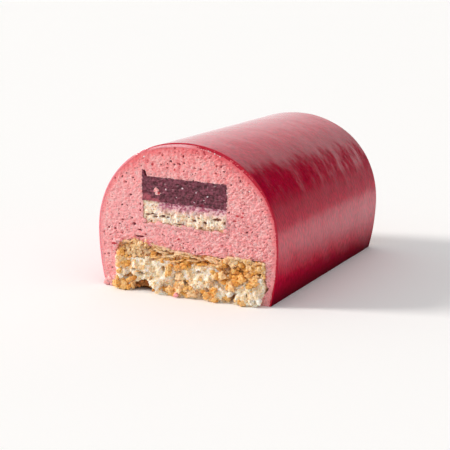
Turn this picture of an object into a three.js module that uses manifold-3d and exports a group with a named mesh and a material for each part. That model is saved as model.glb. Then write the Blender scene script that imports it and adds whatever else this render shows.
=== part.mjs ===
// A mini yule log: a short length of moulded fruit mousse under a red mirror glaze,
// cut square at both ends so that its layers show. A slab of dark fruit jelly on a thin
// sponge runs through the middle, and a crumbly sponge under a layer of nut crunch
// forms the foot.
//
// Millimetres. +X runs across the cut face, +Y along the log away from the front cut,
// +Z up. The origin is the middle of the footprint, on the surface the log stands on.
import * as THREE from "three";
import { mergeVertices } from "three/addons/utils/BufferGeometryUtils.js";
import Module from "manifold-3d";

// The log's outside, glaze included.
const LOG_WIDTH = 56;
const LOG_HEIGHT = 42.6;
const LOG_LENGTH = 78;
const FOOT_WIDTH = 51.8; // the sides lean in a little towards the foot
const WIDEST_AT = 15.8; // height of the widest point, where the arch springs
const ARCH_POWER = 2.1; // 2 is an ellipse, and a little more fills out the shoulders

const GLAZE_THICKNESS = 0.9;
const GLAZE_FOOT = 0.4; // the set glaze stops just short of the surface below
const GAP = 0.3; // between solids that touch

// The sponge at the foot and the crunch on it. Heights are above the resting surface.
const BASE_LEFT = -21.8;
const BASE_RIGHT = 24;
const BASE_RIGHT_TUCK = 1.6; // how far the lower right edge is tucked in
const BASE_TUCK_HEIGHT = 6;
const SPONGE_TOP = 8.8;
const SPONGE_DIP = 2.8; // the crunch has sunk into the sponge on the right
const SPONGE_DIP_FROM = 8;
const SPONGE_DIP_TO = 14;
const CRUNCH_TOP = 11.8;
const CRUNCH_HUMP = 2.4; // a heap on the left
const CRUNCH_HUMP_AT = -16;
const CRUNCH_HUMP_HALF_WIDTH = 5.5;
const CRUMB_BULGE = 1; // torn crumb stands proud of the knife's cut
const CRUMB_SPILL = 1.7; // and further out at the foot, where it has slumped
const CRUMB_SPILL_HEIGHT = 5;
const CRUMB_UNEVEN = 0.7;

// The insert: jelly over sponge. It lies a little lower on the right.
const INSERT_LEFT = -13;
const INSERT_RIGHT = 12.4;
const INSERT_BOTTOM = 19.4;
const INSERT_JOINT = 26; // where the jelly meets its sponge
const INSERT_TOP = 32.1;
const INSERT_SLOPE = -0.025; // rise per millimetre to the right
const INSERT_UNEVEN = 0.3;
const LIP_HEIGHT = 1.7; // the jelly crept up the wall of its tray on the left
const LIP_WIDTH = 0.9;

const ARCH_STEPS = 48;
const SIDE_STEPS = 6;

const { lerp, smoothstep } = THREE.MathUtils;

// Uneven but the same on every run, from -1 to 1: three waves whose lengths don't line up.
function wobble(a, b, phase) {
  const across = Math.sin(0.83 * a + phase);
  const along = Math.sin(0.31 * b + 2.1 * phase);
  const slanting = Math.sin(0.47 * a - 0.23 * b + 3.7 * phase);
  return (across + along + slanting) / 3;
}

// The log's cross-section from the right foot over the top to the left foot, moved
// inwards by `inset`. The sides are parabolas, and the arch is a superellipse.
function archOutline(inset, footHeight) {
  const half = LOG_WIDTH / 2;
  const rise = LOG_HEIGHT - WIDEST_AT;
  const lean = half - FOOT_WIDTH / 2;
  const side = [];
  for (let i = 0; i < SIDE_STEPS; i++) {
    const share = i / SIDE_STEPS;
    side.push(new THREE.Vector2(half - lean * (1 - share) ** 2, WIDEST_AT * share));
  }
  const arch = [];
  for (let i = 0; i <= ARCH_STEPS; i++) {
    const angle = (Math.PI * i) / ARCH_STEPS;
    const c = Math.cos(angle);
    const x = half * Math.sign(c) * Math.abs(c) ** (2 / ARCH_POWER);
    const z = WIDEST_AT + rise * Math.abs(Math.sin(angle)) ** (2 / ARCH_POWER);
    arch.push(new THREE.Vector2(x, z));
  }
  const otherSide = side.map((p) => new THREE.Vector2(-p.x, p.y)).reverse();
  const outer = [...side, ...arch, ...otherSide];

  const last = outer.length - 1;
  return outer.map((point, i) => {
    const tangent = outer[Math.min(i + 1, last)].clone().sub(outer[Math.max(i - 1, 0)]);
    const inwards = new THREE.Vector2(-tangent.y, tangent.x).normalize();
    const moved = point.clone().addScaledVector(inwards, inset);
    if (i === 0 || i === last) moved.y = footHeight;
    return moved;
  });
}

// A closed outline in X and Z, run along the whole log.
function runThrough(outline, length = LOG_LENGTH) {
  const geometry = new THREE.ExtrudeGeometry(new THREE.Shape(outline), {
    depth: length,
    bevelEnabled: false,
  });
  return geometry.rotateX(Math.PI / 2).translate(0, length / 2, 0);
}

// A layer with uneven sides: a unit box whose points go where `place` says.
// u runs across, v along and w up, each from 0 to 1.
function layer(across, along, up, place) {
  const geometry = new THREE.BoxGeometry(1, 1, 1, across, along, up);
  const points = geometry.attributes.position;
  for (let i = 0; i < points.count; i++) {
    const [u, v, w] = [points.getX(i), points.getY(i), points.getZ(i)].map((c) => c + 0.5);
    points.setXYZ(i, ...place(u, v, w));
  }
  return geometry;
}

// How far along Y the torn crumb reaches at a place on the cut, from the log's middle.
function crumbReach(x, z) {
  const spill = CRUMB_SPILL * (1 - smoothstep(z, 0, CRUMB_SPILL_HEIGHT));
  return LOG_LENGTH / 2 + CRUMB_BULGE + spill + CRUMB_UNEVEN * wobble(x, 2.7 * z, 0.9);
}

function baseSides(y, z, grow) {
  const tuck = BASE_RIGHT_TUCK * (1 - smoothstep(z, 0, BASE_TUCK_HEIGHT));
  return {
    left: BASE_LEFT - grow + 0.4 * wobble(z, y, 1.3),
    right: BASE_RIGHT + grow - tuck + 0.4 * wobble(z, y, 2.6),
  };
}

function spongeTopAt(x, y) {
  const dip = SPONGE_DIP * smoothstep(x, SPONGE_DIP_FROM, SPONGE_DIP_TO);
  return SPONGE_TOP - dip + 0.6 * wobble(x, y, 0.4);
}

function crunchTopAt(x, y) {
  const off = (x - CRUNCH_HUMP_AT) / CRUNCH_HUMP_HALF_WIDTH;
  return CRUNCH_TOP + CRUNCH_HUMP * Math.exp(-off * off) + 0.45 * wobble(x, y, 2.2);
}

// The crumbly sponge that the log stands on. `grow` makes the cutter for its hollow.
function baseSponge(grow = 0) {
  return layer(24, 12, 4, (u, v, w) => {
    const level = lerp(-grow, SPONGE_TOP, w);
    const roughY = lerp(-1, 1, v) * (LOG_LENGTH / 2);
    const { left, right } = baseSides(roughY, level, grow);
    const x = lerp(left, right, u);
    const z = lerp(-grow, spongeTopAt(x, roughY) + grow, w);
    return [x, lerp(-1, 1, v) * (crumbReach(x, level) + grow), z];
  });
}

// Toasted nuts and biscuit pressed onto the sponge, heaped on the left.
function nutCrunch(grow = 0) {
  return layer(24, 12, 2, (u, v, w) => {
    const level = lerp(SPONGE_TOP, CRUNCH_TOP, w);
    const roughY = lerp(-1, 1, v) * (LOG_LENGTH / 2);
    const { left, right } = baseSides(roughY, level, grow);
    const x = lerp(left, right, u);
    const bottom = spongeTopAt(x, roughY) + GAP - grow;
    const z = lerp(bottom, crunchTopAt(x, roughY) + grow, w);
    return [x, lerp(-1, 1, v) * (crumbReach(x, level) + grow), z];
  });
}

// The pale sponge under the jelly, with a torn lower side.
function insertSponge(grow = 0, length = LOG_LENGTH) {
  return layer(14, 10, 1, (u, v, w) => {
    const x = lerp(INSERT_LEFT - grow, INSERT_RIGHT + grow, u);
    const y = lerp(-length / 2, length / 2, v);
    const slope = INSERT_SLOPE * x;
    const bottom = INSERT_BOTTOM + slope + INSERT_UNEVEN * wobble(2 * x, y, 1.7) - grow;
    return [x, y, lerp(bottom, INSERT_JOINT - GAP + slope + grow, w)];
  });
}

// The dark jelly: a slab with a thin lip along its upper left edge.
function fruitJelly(grow = 0, length = LOG_LENGTH) {
  const left = INSERT_LEFT - grow;
  const right = INSERT_RIGHT + grow;
  const corner = (x, z) => new THREE.Vector2(x, z + INSERT_SLOPE * x);
  const outline = [
    corner(left, INSERT_JOINT - grow),
    corner(right, INSERT_JOINT - grow),
    corner(right, INSERT_TOP + grow),
    corner(INSERT_LEFT + LIP_WIDTH + grow, INSERT_TOP + grow),
    corner(INSERT_LEFT + LIP_WIDTH / 3 + grow, INSERT_TOP + LIP_HEIGHT + grow),
    corner(left, INSERT_TOP + LIP_HEIGHT + grow),
  ];
  return runThrough(outline, length);
}

// The set glaze: a thin arch over the mousse, open below.
function mirrorGlaze() {
  const outer = archOutline(0, GLAZE_FOOT);
  const inner = archOutline(GLAZE_THICKNESS, GLAZE_FOOT).reverse();
  return runThrough([...outer, ...inner]);
}

// The mousse fills the arch, less the room that the layers take.
function mousse(wasm) {
  const solid = (geometry) => {
    const bare = geometry.clone();
    bare.deleteAttribute("normal");
    bare.deleteAttribute("uv");
    const merged = mergeVertices(bare, 1e-4);
    const vertProperties = merged.attributes.position.array;
    const triVerts = new Uint32Array(merged.index.array);
    return new wasm.Manifold(new wasm.Mesh({ numProp: 3, vertProperties, triVerts }));
  };
  const pastBothCuts = LOG_LENGTH + 4;
  const cutters = [
    baseSponge(GAP),
    nutCrunch(GAP),
    insertSponge(GAP, pastBothCuts),
    fruitJelly(GAP, pastBothCuts),
  ];
  const whole = solid(runThrough(archOutline(GLAZE_THICKNESS + GAP, 0)));
  const cut = cutters.reduce((rest, cutter) => rest.subtract(solid(cutter)), whole).getMesh();
  return new THREE.BufferGeometry()
    .setAttribute("position", new THREE.BufferAttribute(cut.vertProperties, 3))
    .setIndex(new THREE.BufferAttribute(cut.triVerts, 1));
}

const finishes = {
  glaze: { color: 0xa30d2b, roughness: 0.15 },
  mousse: { color: 0xe79a9c, roughness: 0.8 },
  jelly: { color: 0x4b2533, roughness: 0.4 },
  insertCrumb: { color: 0xe9d8b4, roughness: 0.9 },
  crunch: { color: 0xc98a4b, roughness: 0.6 },
  baseCrumb: { color: 0xe6d6b2, roughness: 0.9 },
};

function piece(name, geometry, finish) {
  const material = new THREE.MeshStandardMaterial({ ...finishes[finish], metalness: 0 });
  const mesh = new THREE.Mesh(geometry, material);
  mesh.name = name;
  return mesh;
}

const wasm = await Module();
wasm.setup();

const yuleLog = new THREE.Group();
yuleLog.add(
  piece("mirror_glaze", mirrorGlaze(), "glaze"),
  piece("mousse", mousse(wasm), "mousse"),
  piece("fruit_jelly", fruitJelly(), "jelly"),
  piece("insert_sponge", insertSponge(), "insertCrumb"),
  piece("nut_crunch", nutCrunch(), "crunch"),
  piece("base_sponge", baseSponge(), "baseCrumb"),
);

export default yuleLog;
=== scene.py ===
import math
import random

import bpy
from mathutils import Euler, Matrix, Vector
from mathutils.bvhtree import BVHTree


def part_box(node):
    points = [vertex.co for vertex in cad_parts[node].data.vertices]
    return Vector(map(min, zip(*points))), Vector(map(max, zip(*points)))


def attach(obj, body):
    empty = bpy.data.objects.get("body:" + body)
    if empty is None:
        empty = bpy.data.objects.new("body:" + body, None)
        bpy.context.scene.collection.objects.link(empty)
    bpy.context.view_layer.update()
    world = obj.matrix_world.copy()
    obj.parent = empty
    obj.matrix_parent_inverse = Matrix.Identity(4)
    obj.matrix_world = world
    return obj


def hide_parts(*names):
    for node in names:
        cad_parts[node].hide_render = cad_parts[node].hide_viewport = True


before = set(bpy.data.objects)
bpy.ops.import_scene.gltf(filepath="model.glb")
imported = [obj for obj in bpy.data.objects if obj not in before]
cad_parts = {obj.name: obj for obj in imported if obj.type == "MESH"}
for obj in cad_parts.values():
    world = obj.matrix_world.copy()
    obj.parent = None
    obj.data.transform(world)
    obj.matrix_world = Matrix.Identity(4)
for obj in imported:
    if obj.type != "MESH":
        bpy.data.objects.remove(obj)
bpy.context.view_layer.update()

mm = 0.001
halfLength = 39 * mm  # from the middle of the log to either cut
halfWidth = 28 * mm
archSpring = 15.8 * mm  # height where the sides end and the arch begins
archRise = 26.8 * mm  # from there to the crest
restAt = 0.02 * mm  # nothing reaches lower than this
onCutWithin = 0.01 * mm  # a point of a flat cut lies no further behind it than this


def deselectAll():
    if bpy.context.object and bpy.context.object.mode != "OBJECT":
        bpy.ops.object.mode_set(mode="OBJECT")
    bpy.ops.object.select_all(action="DESELECT")


def makeActive(piece):
    deselectAll()
    bpy.context.view_layer.objects.active = piece
    piece.select_set(True)


def enterWith(piece, kind):
    # edit mode with nothing selected, then back out so that the choice can be made in code
    makeActive(piece)
    bpy.ops.object.mode_set(mode="EDIT")
    bpy.ops.mesh.select_mode(type=kind)
    bpy.ops.mesh.select_all(action="DESELECT")
    bpy.ops.object.mode_set(mode="OBJECT")


def pickFaces(piece, wanted):
    enterWith(piece, "FACE")
    for face in piece.data.polygons:
        face.select = wanted(face)
    bpy.ops.object.mode_set(mode="EDIT")


def pickVertices(piece, wanted):
    enterWith(piece, "VERT")
    for point in piece.data.vertices:
        point.select = wanted(point)
    bpy.ops.object.mode_set(mode="EDIT")


def pickEdges(piece, wanted):
    enterWith(piece, "EDGE")
    points = piece.data.vertices
    for edge in piece.data.edges:
        edge.select = wanted(points[edge.vertices[0]], points[edge.vertices[1]])
    bpy.ops.object.mode_set(mode="EDIT")


def applyModifiers(piece):
    makeActive(piece)
    for modifier in list(piece.modifiers):
        bpy.ops.object.modifier_apply(modifier=modifier.name)


def addModifier(piece, kind, **settings):
    modifier = piece.modifiers.new(kind.lower(), kind)
    for name, value in settings.items():
        setattr(modifier, name, value)
    return modifier


def displace(piece, name, pattern, grain, strength, **settings):
    texture = bpy.data.textures.new(name, pattern)
    texture.noise_scale = grain
    addModifier(piece, "DISPLACE", texture=texture, texture_coords="LOCAL", strength=strength, **settings)


def copyOfNode(node, name):
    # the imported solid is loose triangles, so its copy is merged before it is worked on
    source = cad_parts[node]
    piece = bpy.data.objects.new(name, source.data.copy())
    bpy.context.scene.collection.objects.link(piece)
    piece.data.materials.clear()
    makeActive(piece)
    bpy.ops.object.mode_set(mode="EDIT")
    bpy.ops.mesh.select_all(action="SELECT")
    bpy.ops.mesh.remove_doubles(threshold=0.001 * mm)
    bpy.ops.mesh.customdata_custom_splitnormals_clear()
    bpy.ops.object.mode_set(mode="OBJECT")
    return piece


def resize(piece, share, about):
    makeActive(piece)
    bpy.ops.object.mode_set(mode="EDIT")
    bpy.ops.mesh.select_all(action="SELECT")
    bpy.ops.transform.resize(value=share, center_override=about)
    bpy.ops.object.mode_set(mode="OBJECT")


def restOnFloor(piece):
    # what would reach below the foot is pressed flat
    pickVertices(piece, lambda point: point.co.z < restAt)
    bpy.ops.transform.resize(value=(1, 1, 0), center_override=(0, 0, restAt))
    bpy.ops.object.mode_set(mode="OBJECT")


def smoothBelow(piece, degrees):
    makeActive(piece)
    bpy.ops.object.shade_smooth_by_angle(angle=math.radians(degrees))


def removePiece(piece):
    mesh = piece.data
    bpy.data.objects.remove(piece)
    bpy.data.meshes.remove(mesh)


def joinAll(pieces, name):
    deselectAll()
    for piece in pieces:
        piece.select_set(True)
    bpy.context.view_layer.objects.active = pieces[0]
    bpy.ops.object.join()
    pieces[0].name = name
    return pieces[0]


def plainBlock(name, lowest, highest):
    deselectAll()
    lowest, highest = Vector(lowest), Vector(highest)
    bpy.ops.mesh.primitive_cube_add(size=1, location=(lowest + highest) / 2)
    block = bpy.context.object
    block.name = name
    block.scale = highest - lowest
    bpy.ops.object.transform_apply(location=True, rotation=True, scale=True)
    return block


def denseEndedBlock(name, lowest, highest, cuts):
    # a block whose two end faces are cut fine enough to carry relief
    block = plainBlock(name, lowest, highest)
    pickFaces(block, lambda face: abs(face.normal.y) > 0.9)
    for number in cuts:
        bpy.ops.mesh.subdivide(number_cuts=number)
    bpy.ops.object.mode_set(mode="OBJECT")
    return block


def trim(piece, shape):
    addModifier(piece, "BOOLEAN", operation="INTERSECT", object=shape, solver="EXACT")
    applyModifiers(piece)
    removePiece(shape)


def firstEnabled(sockets, name=None):
    return next(socket for socket in sockets if socket.enabled and name in (None, socket.name))


def addNode(tree, kind, inputs=(), **settings):
    # the kinds that shading and geometry share are named without their ShaderNode; an input is given
    # a number or a colour, or another node or socket to be linked to
    node = tree.nodes.new(kind if kind.startswith(("Geometry", "NodeGroup")) else "ShaderNode" + kind)
    for name, value in settings.items():
        setattr(node, name, value)
    for name, value in dict(inputs).items():
        socket = node.inputs[name] if isinstance(name, int) else firstEnabled(node.inputs, name)
        if isinstance(value, bpy.types.Node):
            value = firstEnabled(value.outputs)
        if isinstance(value, bpy.types.NodeSocket):
            tree.links.new(value, socket)
        else:
            socket.default_value = value
    return node


def linear(hexColour):
    def channel(text):
        value = int(text, 16) / 255
        return value / 12.92 if value <= 0.04045 else ((value + 0.055) / 1.055) ** 2.4
    return tuple(channel(hexColour[i:i + 2]) for i in (1, 3, 5)) + (1.0,)


def newMaterial(name, roughness, subsurface=None):
    # subsurface is its weight, how far red, green and blue light spread, and the scale of that
    material = bpy.data.materials.new(name)
    material.use_nodes = True
    tree = material.node_tree
    tree.nodes.clear()
    shader = addNode(tree, "BsdfPrincipled", {"Roughness": roughness})
    if subsurface:
        weight, spread, scale = subsurface
        shader.inputs["Subsurface Weight"].default_value = weight
        shader.inputs["Subsurface Radius"].default_value = spread
        shader.inputs["Subsurface Scale"].default_value = scale
    addNode(tree, "OutputMaterial", {"Surface": shader})
    place = addNode(tree, "TexCoord").outputs["Object"]
    return material, tree, shader, place


def setColour(tree, shader, colour):
    tree.links.new(firstEnabled(colour.outputs), shader.inputs["Base Color"])


def mixColour(tree, share, colour, other):
    # a colour is mixed towards another, given in hex
    return addNode(tree, "Mix", {"Factor": share, "A": colour, "B": linear(other)}, data_type="RGBA")


def colourRamp(tree, share, stops):
    ramp = addNode(tree, "ValToRGB", {"Fac": share})
    elements = ramp.color_ramp.elements
    elements.remove(elements[-1])
    for i, (position, colour) in enumerate(stops):
        element = elements[0] if i == 0 else elements.new(position)
        element.position = position
        element.color = linear(colour)
    return ramp


def newRelief(name):
    tree = bpy.data.node_groups.new(name, "GeometryNodeTree")
    tree.interface.new_socket("Geometry", in_out="INPUT", socket_type="NodeSocketGeometry")
    tree.interface.new_socket("Geometry", in_out="OUTPUT", socket_type="NodeSocketGeometry")
    return tree, addNode(tree, "NodeGroupInput")


def applyRelief(piece, tree):
    modifier = piece.modifiers.new(tree.name, "NODES")
    modifier.node_group = tree
    applyModifiers(piece)


def noteOn(tree, geometry, name, value):
    # keeps a value on the mesh for its finish to read
    return addNode(tree, "GeometryNodeStoreNamedAttribute",
                   {"Geometry": geometry, "Name": name, "Value": value}, data_type="FLOAT",
                   domain="POINT")


def noted(tree, name):
    return addNode(tree, "Attribute", attribute_name=name).outputs["Fac"]


def pitShare(tree, where, spacing, sizes, closed):
    # 1 in the middle of a pit: cells of the froth are open where their number beats the bar
    cells = addNode(tree, "TexVoronoi", {"Vector": where, "Scale": 1 / spacing})
    number = addNode(tree, "SeparateXYZ", {"Vector": cells.outputs["Color"]})
    size = addNode(tree, "MapRange",
                   {"Value": number.outputs["Y"], "To Min": sizes[0], "To Max": sizes[1]})
    inner = addNode(tree, "Math", {0: size, 1: 0.35}, operation="MULTIPLY")
    pit = addNode(tree, "MapRange",
                  {"Value": cells.outputs["Distance"], "From Min": size, "From Max": inner},
                  interpolation_type="SMOOTHSTEP")
    opened = addNode(tree, "Math", {0: number.outputs["X"], 1: closed}, operation="GREATER_THAN")
    return addNode(tree, "Math", {0: pit, 1: opened}, operation="MULTIPLY")


def placedShare(tree, where, spots):
    # 1 in the middle of each ellipse: millimetres across and up, half width and half height
    share = 0.0
    for across, up, wide, high in spots:
        away = addNode(tree, "VectorMath", {0: where, 1: (-across * mm, 0, -up * mm)})
        scaled = addNode(tree, "VectorMath", {0: away, 1: (1 / (wide * mm), 0, 1 / (high * mm))},
                         operation="MULTIPLY")
        far = addNode(tree, "VectorMath", {0: scaled}, operation="LENGTH")
        inside = addNode(tree, "MapRange", {"Value": far, "From Min": 1.0, "From Max": 0.4},
                         interpolation_type="SMOOTHSTEP")
        share = addNode(tree, "Math", {0: share, 1: inside}, operation="MAXIMUM")
    return share


def ragged(tree, where, grain, amount):
    # the same place moved to and fro, so that outlines drawn on it come out uneven
    wander = addNode(tree, "TexNoise", {"Vector": where, "Scale": 1 / grain, "Detail": 2.0})
    middled = addNode(tree, "VectorMath", {0: wander.outputs["Color"], 1: (0.5, 0.5, 0.5)},
                      operation="SUBTRACT")
    return addNode(tree, "VectorMath", {0: middled, 1: (amount,) * 3, 2: where}, operation="MULTIPLY_ADD")


def noiseShare(tree, where, grain, low, high, most=1.0, detail=2.0, roughness=0.5):
    # 0 where the noise is low, rising to the given share where it is high
    noise = addNode(tree, "TexNoise",
                    {"Vector": where, "Scale": 1 / grain, "Detail": detail, "Roughness": roughness})
    return addNode(tree, "MapRange", {"Value": noise, "From Min": low, "From Max": high, "To Max": most})


def addGrit(tree, shader, place, grain, most, strength, depth):
    # fine grain as bump, which also gives a share, up to the given one, for painted shade in the colour
    # between its grains
    grit = addNode(tree, "TexNoise", {"Vector": place, "Scale": 1 / grain, "Detail": 2.0})
    bump = addNode(tree, "Bump", {"Height": grit, "Strength": strength, "Distance": depth})
    tree.links.new(bump.outputs[0], shader.inputs["Normal"])
    return addNode(tree, "MapRange", {"Value": grit, "From Min": 0.5, "From Max": 0.32, "To Max": most})


def liesOnCut(tree, parts, cutAt):
    # true for the points of the two flat cuts
    reach = addNode(tree, "Math", {0: parts.outputs["Y"]}, operation="ABSOLUTE")
    return addNode(tree, "Math", {0: reach, 1: cutAt - onCutWithin}, operation="GREATER_THAN")


# worked out from the perspective of the arch, the foot line and the far end
camera = {
    "place": (149.3 * mm, -314.8 * mm, 88.7 * mm),
    "lookAt": (-30.8 * mm, 47.6 * mm, 0.0),
    "lens": 93.65,
}


def makeCamera():
    bpy.ops.object.camera_add(location=camera["place"])
    view = bpy.context.object
    view.name = "camera"
    towards = Vector(camera["lookAt"]) - Vector(camera["place"])
    view.rotation_euler = towards.to_track_quat("-Z", "Y").to_euler()
    view.data.lens = camera["lens"]
    view.data.sensor_width = 36
    bpy.context.scene.camera = view


makeCamera()
print("camera in place")


glaze = {
    "thinnest": 0.45 * mm,
    "thickest": 1.05 * mm,
    "rings": 100,
    "foot": 0.05 * mm,
    "edgeRound": 0.22 * mm,
    "wave": 0.16 * mm,  # how far the set glaze stands up and sinks, over this length
    "waveLength": 8 * mm,
    # its thickness between the two: a share all over, and more about these angles from the crest,
    # each with how much more, the angle, and over what angle that fades
    "thickAllOver": 0.06,
    "thickAbout": [(0.75, 0.72, 0.35), (0.6, 0.0, 0.45)],
    "arcRadius": 26 * mm,  # about that of its surface, for patterns that run round it
    "beadSeed": 3,
    # beads of glaze that the knife has pulled onto the cut, coloured pale as painted highlights: across,
    # up and radius in millimetres
    "beads": [(5.2, 41.3, 0.13), (5.9, 41.15, 0.16), (6.5, 41.0, 0.12), (7.3, 40.95, 0.2),
              (7.9, 40.7, 0.15), (9.2, 40.3, 0.25), (10.1, 40.0, 0.14), (10.8, 39.7, 0.18),
              (-12.6, 38.1, 0.25), (2.1, 34.3, 0.2), (19.5, 31.0, 0.24)],
}


def makeGlaze():
    shell = copyOfNode("mirror_glaze", "redGlaze")

    def hidden(face):
        outwards = face.normal.dot(Vector((face.center.x, 0, max(0, face.center.z - archSpring))))
        return abs(face.normal.y) > 0.5 or face.normal.z < -0.9 or outwards < 0

    pickFaces(shell, hidden)
    bpy.ops.mesh.delete(type="FACE")
    bpy.ops.mesh.select_all(action="SELECT")
    bpy.ops.mesh.tris_convert_to_quads()
    bpy.ops.object.mode_set(mode="OBJECT")
    lowest = min(point.co.z for point in shell.data.vertices)
    pickVertices(shell, lambda point: point.co.z < lowest + 0.01 * mm)
    bpy.ops.transform.translate(value=(0, 0, glaze["foot"] - lowest))
    pickEdges(shell, lambda a, b: abs(a.co.y - b.co.y) > halfLength)
    bpy.ops.mesh.subdivide(number_cuts=glaze["rings"])
    bpy.ops.object.mode_set(mode="OBJECT")
    addModifier(shell, "SUBSURF", levels=1, render_levels=1, boundary_smooth="PRESERVE_CORNERS")
    displace(shell, "glazeWaves", "CLOUDS", glaze["waveLength"], glaze["wave"])
    applyModifiers(shell)
    outerCount = len(shell.data.vertices)
    thick = shell.vertex_groups.new(name="thick")
    for point in shell.data.vertices:
        around = math.atan2(point.co.x, point.co.z - archSpring)
        share = glaze["thickAllOver"]
        for more, angle, fade in glaze["thickAbout"]:
            share += more * math.exp(-((around - angle) / fade) ** 2)
        wander = 0.08 * math.sin(9 * around + 1) + 0.08 * math.sin(23 * around + point.co.y / (2 * mm))
        thick.add([point.index], min(1, max(0, share + wander)), "REPLACE")
    addModifier(shell, "SOLIDIFY", thickness=glaze["thickest"], offset=-1, use_even_offset=True,
                vertex_group="thick", thickness_vertex_group=glaze["thinnest"] / glaze["thickest"])
    applyModifiers(shell)

    def outerEdge(a, b):
        return max(a.index, b.index) < outerCount and min(abs(a.co.y), abs(b.co.y)) > halfLength * 0.999

    pickEdges(shell, outerEdge)
    bpy.ops.mesh.bevel(offset=glaze["edgeRound"], segments=3)
    bpy.ops.object.mode_set(mode="OBJECT")
    smoothBelow(shell, 50)
    return shell


def glazeFinish():
    # mirror glaze, set gelatine and sugar: wet-looking deep red with the fine drag marks of the pour
    material, tree, shader, place = newMaterial("mirrorGlaze", 0.1, (0.3, (1.0, 0.15, 0.1), 1.2 * mm))
    shader.inputs["IOR"].default_value = 1.45
    parts = addNode(tree, "SeparateXYZ", {"Vector": place})
    above = addNode(tree, "Math", {0: parts.outputs["Z"], 1: archSpring}, operation="SUBTRACT")
    around = addNode(tree, "Math", {0: parts.outputs["X"], 1: above}, operation="ARCTAN2")
    # distance round the log, so that the marks run over it, each about 0.5 by 1.7 mm
    arc = addNode(tree, "Math", {0: around, 1: glaze["arcRadius"]}, operation="MULTIPLY")
    pour = addNode(tree, "CombineXYZ", {"X": arc, "Y": parts.outputs["Y"]})
    slant = addNode(tree, "VectorRotate", {"Vector": pour, "Angle": -0.2}, rotation_type="Z_AXIS")
    drag = addNode(tree, "VectorMath", {0: slant, 1: (0.3, 1.0, 1.0)}, operation="MULTIPLY")
    fine = addNode(tree, "TexNoise", {"Vector": drag, "Scale": 1 / (0.5 * mm), "Detail": 1.0})
    wide = addNode(tree, "TexNoise", {"Vector": drag, "Scale": 1 / (1.4 * mm)})
    bumpWide = addNode(tree, "Bump", {"Height": wide, "Strength": 0.5, "Distance": 0.03 * mm})
    bumpFine = addNode(tree, "Bump",
                       {"Height": fine, "Strength": 0.5, "Distance": 0.022 * mm, "Normal": bumpWide})
    tree.links.new(bumpFine.outputs[0], shader.inputs["Normal"])
    # it is darker towards the foot: partly where it has run down and lies thicker, partly painted shade
    footPoolAndShade = addNode(tree, "MapRange",
                  {"Value": parts.outputs["Z"], "From Min": 0.3 * mm, "From Max": 7.5 * mm})
    body = mixColour(tree, footPoolAndShade, linear("#74041E"), "#E41042")
    # painted shade: it is darker over both shoulders, and it is streaked by the pour
    either = addNode(tree, "Math", {0: around}, operation="ABSOLUTE")
    shoulder = addNode(tree, "MapRange", {"Value": either, "From Min": 0.45, "From Max": 0.8},
                       interpolation_type="SMOOTHSTEP")
    side = addNode(tree, "MapRange", {"Value": either, "From Min": 1.5, "From Max": 1.15},
                   interpolation_type="SMOOTHSTEP")
    paintedShoulderShade = addNode(tree, "Math", {0: shoulder, 1: side}, operation="MULTIPLY")
    body = mixColour(tree, paintedShoulderShade, body, "#C20836")
    streak = addNode(tree, "MapRange", {"Value": fine, "From Min": 0.38, "From Max": 0.66, "To Max": 0.6})
    body = mixColour(tree, streak, body, "#7A0420")
    # cut through, it is clear red; painted light makes it paler at the left, where light shines through
    # it and its edge catches a highlight
    reach = addNode(tree, "Math", {0: parts.outputs["Y"]}, operation="ABSOLUTE")
    onCut = addNode(tree, "MapRange",
                    {"Value": reach, "From Min": halfLength - 0.25 * mm,
                     "From Max": halfLength - 0.02 * mm})
    across = addNode(tree, "MapRange",
                     {"Value": parts.outputs["X"], "From Min": -16 * mm, "From Max": -5 * mm})
    cut = mixColour(tree, across, linear("#F88E98"), "#B8062C")
    setColour(tree, shader,
              addNode(tree, "Mix", {"Factor": onCut, "A": body, "B": cut}, data_type="RGBA"))
    return material


torn = {
    "keptRing": 2.5 * mm,  # the ends are rebuilt from here outwards
    "spillTop": 5 * mm,  # below this height the crumb has slumped outwards
    "boxLow": (-40 * mm, -5 * mm),  # a box round one end of a layer, across and up
    "boxHigh": (40 * mm, 50 * mm),
    "boxPast": 6 * mm,  # how far it goes past the cut
    "thrownFrom": 60 * mm,
}


def reachAt(z, settings):
    # how far out the crumb stands on average: it bulges past the cut and has slumped at its foot
    fall = min(1, max(0, z / torn["spillTop"]))
    return halfLength + settings["bulge"] + settings["spill"] * (1 - fall * fall * (3 - 2 * fall))


def makeLump(name, rough, grain, rounds):
    # one uneven, knobbly lump of about 1 mm radius, modelled once and copied wherever it is needed
    deselectAll()
    bpy.ops.mesh.primitive_ico_sphere_add(subdivisions=rounds, radius=1 * mm, location=(0, 0, 0))
    lump = bpy.context.object
    lump.name = name
    displace(lump, name + "Shape", "CLOUDS", (0.5 + 0.4 * grain) * mm, 2 * rough * mm)
    displace(lump, name, "VORONOI", grain * mm, -rough * mm, mid_level=0.5)
    applyModifiers(lump)
    return lump


def makeLumps(name, rough, grains, rounds):
    return [makeLump(name, rough, grain, rounds) for grain in grains]


def copyTo(source, where, size, turn, squash, notes):
    piece = bpy.data.objects.new(source.name + "Copy", source.data.copy())
    bpy.context.scene.collection.objects.link(piece)
    piece.data.transform(Matrix.LocRotScale(Vector(where), Euler(turn), Vector(squash) * size))
    for name, value in notes.items():
        values = piece.data.attributes.new(name, "FLOAT", "POINT")
        values.data.foreach_set("value", [value] * len(piece.data.vertices))
    return piece


def landOn(surfaces, x, z, end):
    # how far out a crumb thrown at the cut would come to lie
    start = Vector((x, end * torn["thrownFrom"], z))
    hits = [surface.ray_cast(start, Vector((0, -end, 0)))[0] for surface in surfaces]
    return max((abs(spot.y) for spot in hits if spot), default=None)


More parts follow.
